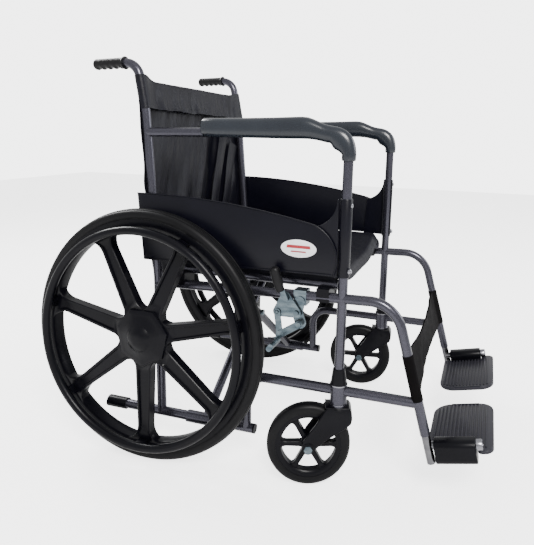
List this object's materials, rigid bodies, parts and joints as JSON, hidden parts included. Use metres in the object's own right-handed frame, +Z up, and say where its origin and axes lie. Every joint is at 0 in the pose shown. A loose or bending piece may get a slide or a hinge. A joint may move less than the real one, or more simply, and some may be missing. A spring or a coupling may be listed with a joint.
{
  "type": "manual wheelchair",
  "caption": "Folding manual wheelchair with sling seat and back, spoked rear wheels, swivel casters, toggle brakes and flip-up footplates.",
  "frame": {"origin": "on the floor, at the centre of the chair's bounding box", "axes": "+Z up; the user faces -Y; +X is the user's left"},
  "size_m": [0.7, 1.1108, 0.9713],
  "materials": {
    "frame_paint": "metallic grey paint, satin",
    "black_moulding": "moulded black plastic",
    "grip_rubber": "moulded soft grip",
    "pad_skin": "satin moulded foam skin",
    "guard_panel": "textured moulded panel",
    "zinc_plate": "zinc plated",
    "chrome_tube": "chrome plated tube",
    "tyre_rubber": "solid tyre",
    "sling_cloth": "woven nylon",
    "plate_plastic": "ribbed grey plastic",
    "bearing_steel": "ground steel"
  },
  "bodies": {
    "right_frame": {"right_back_post": "frame_paint", "right_arm_tube": "frame_paint", "right_side_rail": "frame_paint", "right_lower_rail": "frame_paint", "right_tipping_bar": "frame_paint", "right_head_tube": "frame_paint", "right_stem_collar": "black_moulding", "right_handle_grip": "grip_rubber", "right_arm_pad": "pad_skin", "right_skirt_guard": "guard_panel", "right_caps_and_saddles": "black_moulding", "right_rear_axle": "zinc_plate", "right_brake_bracket": "zinc_plate", "right_footrest_tube": "chrome_tube", "back_sling": "sling_cloth", "calf_strap": "sling_cloth"},
    "cross_a": {"cross_arm_a": "frame_paint", "cross_bolt": "zinc_plate", "seat_sling": "sling_cloth"},
    "cross_b": {"cross_arm_b": "frame_paint"},
    "left_frame": {"left_back_post": "frame_paint", "left_arm_tube": "frame_paint", "left_side_rail": "frame_paint", "left_lower_rail": "frame_paint", "left_tipping_bar": "frame_paint", "left_head_tube": "frame_paint", "left_stem_collar": "black_moulding", "left_handle_grip": "grip_rubber", "left_arm_pad": "pad_skin", "left_skirt_guard": "guard_panel", "left_caps_and_saddles": "black_moulding", "left_rear_axle": "zinc_plate", "left_brake_bracket": "zinc_plate", "left_footrest_tube": "chrome_tube"},
    "right_wheel": {"right_mag_wheel": "black_moulding", "right_tyre": "tyre_rubber", "right_handrim": "black_moulding", "right_wheel_bearings": "bearing_steel"},
    "right_caster_swivel": {"right_caster_fork": "black_moulding", "right_caster_axle": "zinc_plate"},
    "right_caster_roll": {"right_caster_wheel": "black_moulding", "right_caster_tyre": "tyre_rubber"},
    "right_brake_arm": {"right_brake_lever": "zinc_plate", "right_brake_grip": "grip_rubber"},
    "right_brake_toggle": {"right_brake_link": "zinc_plate"},
    "right_brake_block": {"right_brake_shoe": "zinc_plate"},
    "right_foot": {"right_footplate": "plate_plastic"},
    "left_wheel": {"left_mag_wheel": "black_moulding", "left_tyre": "tyre_rubber", "left_handrim": "black_moulding", "left_wheel_bearings": "bearing_steel"},
    "left_caster_swivel": {"left_caster_fork": "black_moulding", "left_caster_axle": "zinc_plate"},
    "left_caster_roll": {"left_caster_wheel": "black_moulding", "left_caster_tyre": "tyre_rubber"},
    "left_brake_arm": {"left_brake_lever": "zinc_plate", "left_brake_grip": "grip_rubber"},
    "left_brake_toggle": {"left_brake_link": "zinc_plate"},
    "left_brake_block": {"left_brake_shoe": "zinc_plate"},
    "left_foot": {"left_footplate": "plate_plastic"}
  },
  "joints": [
    {"name": "fold", "type": "hinge", "parent": "right_frame", "child": "cross_a", "pos_m": [-0.246, 0.2475, 0.088], "axis": [0, -1, 0], "range_deg": [0, 40], "deforming": ["seat_sling", "back_sling", "calf_strap"]},
    {"name": "fold_centre", "type": "hinge", "parent": "cross_a", "child": "cross_b", "pos_m": [0, 0.2475, 0.2802], "axis": [0, -1, 0], "range_deg": [-80, 0]},
    {"name": "fold_left", "type": "hinge", "parent": "cross_b", "child": "left_frame", "pos_m": [0.246, 0.2475, 0.088], "axis": [0, -1, 0], "range_deg": [0, 40]},
    {"name": "right_wheel_spin", "type": "hinge", "parent": "right_frame", "child": "right_wheel", "pos_m": [-0.3, 0.2495, 0.305], "axis": [1, 0, 0], "continuous": true},
    {"name": "right_caster_turn", "type": "hinge", "parent": "right_frame", "child": "right_caster_swivel", "pos_m": [-0.246, -0.2165, 0.188], "axis": [0, 0, 1], "continuous": true},
    {"name": "right_caster_spin", "type": "hinge", "parent": "right_caster_swivel", "child": "right_caster_roll", "pos_m": [-0.26639, -0.15373, 0.095], "axis": [0.9511, 0.309, 0], "continuous": true},
    {"name": "right_brake", "type": "hinge", "parent": "right_frame", "child": "right_brake_arm", "pos_m": [-0.246, -0.1195, 0.392], "axis": [1, 0, 0], "range_deg": [0, 50]},
    {"name": "right_brake_shoe_swing", "type": "hinge", "parent": "right_frame", "child": "right_brake_block", "pos_m": [-0.246, -0.1275, 0.3685], "axis": [1, 0, 0], "range_deg": [0, 41]},
    {"name": "right_brake_link_swing", "type": "hinge", "parent": "right_brake_block", "child": "right_brake_toggle", "pos_m": [-0.246, -0.0815, 0.34], "axis": [1, 0, 0], "range_deg": [-20, 0]},
    {"name": "right_footplate_flip", "type": "hinge", "parent": "right_frame", "child": "right_foot", "pos_m": [-0.242, -0.4195, 0.127], "axis": [0, -0.9781, 0.2079], "range_deg": [0, 90]},
    {"name": "left_wheel_spin", "type": "hinge", "parent": "left_frame", "child": "left_wheel", "pos_m": [0.3, 0.2495, 0.305], "axis": [1, 0, 0], "continuous": true},
    {"name": "left_caster_turn", "type": "hinge", "parent": "left_frame", "child": "left_caster_swivel", "pos_m": [0.246, -0.2165, 0.188], "axis": [0, 0, 1], "continuous": true},
    {"name": "left_caster_spin", "type": "hinge", "parent": "left_caster_swivel", "child": "left_caster_roll", "pos_m": [0.23681, -0.15114, 0.095], "axis": [0.9903, 0.1392, 0], "continuous": true},
    {"name": "left_brake", "type": "hinge", "parent": "left_frame", "child": "left_brake_arm", "pos_m": [0.246, -0.1195, 0.392], "axis": [1, 0, 0], "range_deg": [0, 50]},
    {"name": "left_brake_shoe_swing", "type": "hinge", "parent": "left_frame", "child": "left_brake_block", "pos_m": [0.246, -0.1275, 0.3685], "axis": [1, 0, 0], "range_deg": [0, 41]},
    {"name": "left_brake_link_swing", "type": "hinge", "parent": "left_brake_block", "child": "left_brake_toggle", "pos_m": [0.246, -0.0815, 0.34], "axis": [1, 0, 0], "range_deg": [-20, 0]},
    {"name": "left_footplate_flip", "type": "hinge", "parent": "left_frame", "child": "left_foot", "pos_m": [0.242, -0.4195, 0.127], "axis": [0, 0.9781, -0.2079], "range_deg": [0, 90]}
  ],
  "couplings": [
    {"joint": "fold_centre", "follows": "fold", "ratio": -2},
    {"joint": "fold_left", "follows": "fold", "ratio": 1},
    {"joint": "right_brake_shoe_swing", "follows": "right_brake", "ratio": 0.81},
    {"joint": "right_brake_link_swing", "follows": "right_brake", "ratio": -0.3},
    {"joint": "right_footplate_flip", "follows": "fold", "ratio": 2.25},
    {"joint": "left_brake_shoe_swing", "follows": "left_brake", "ratio": 0.81},
    {"joint": "left_brake_link_swing", "follows": "left_brake", "ratio": -0.3},
    {"joint": "left_footplate_flip", "follows": "fold", "ratio": 2.25}
  ]
}
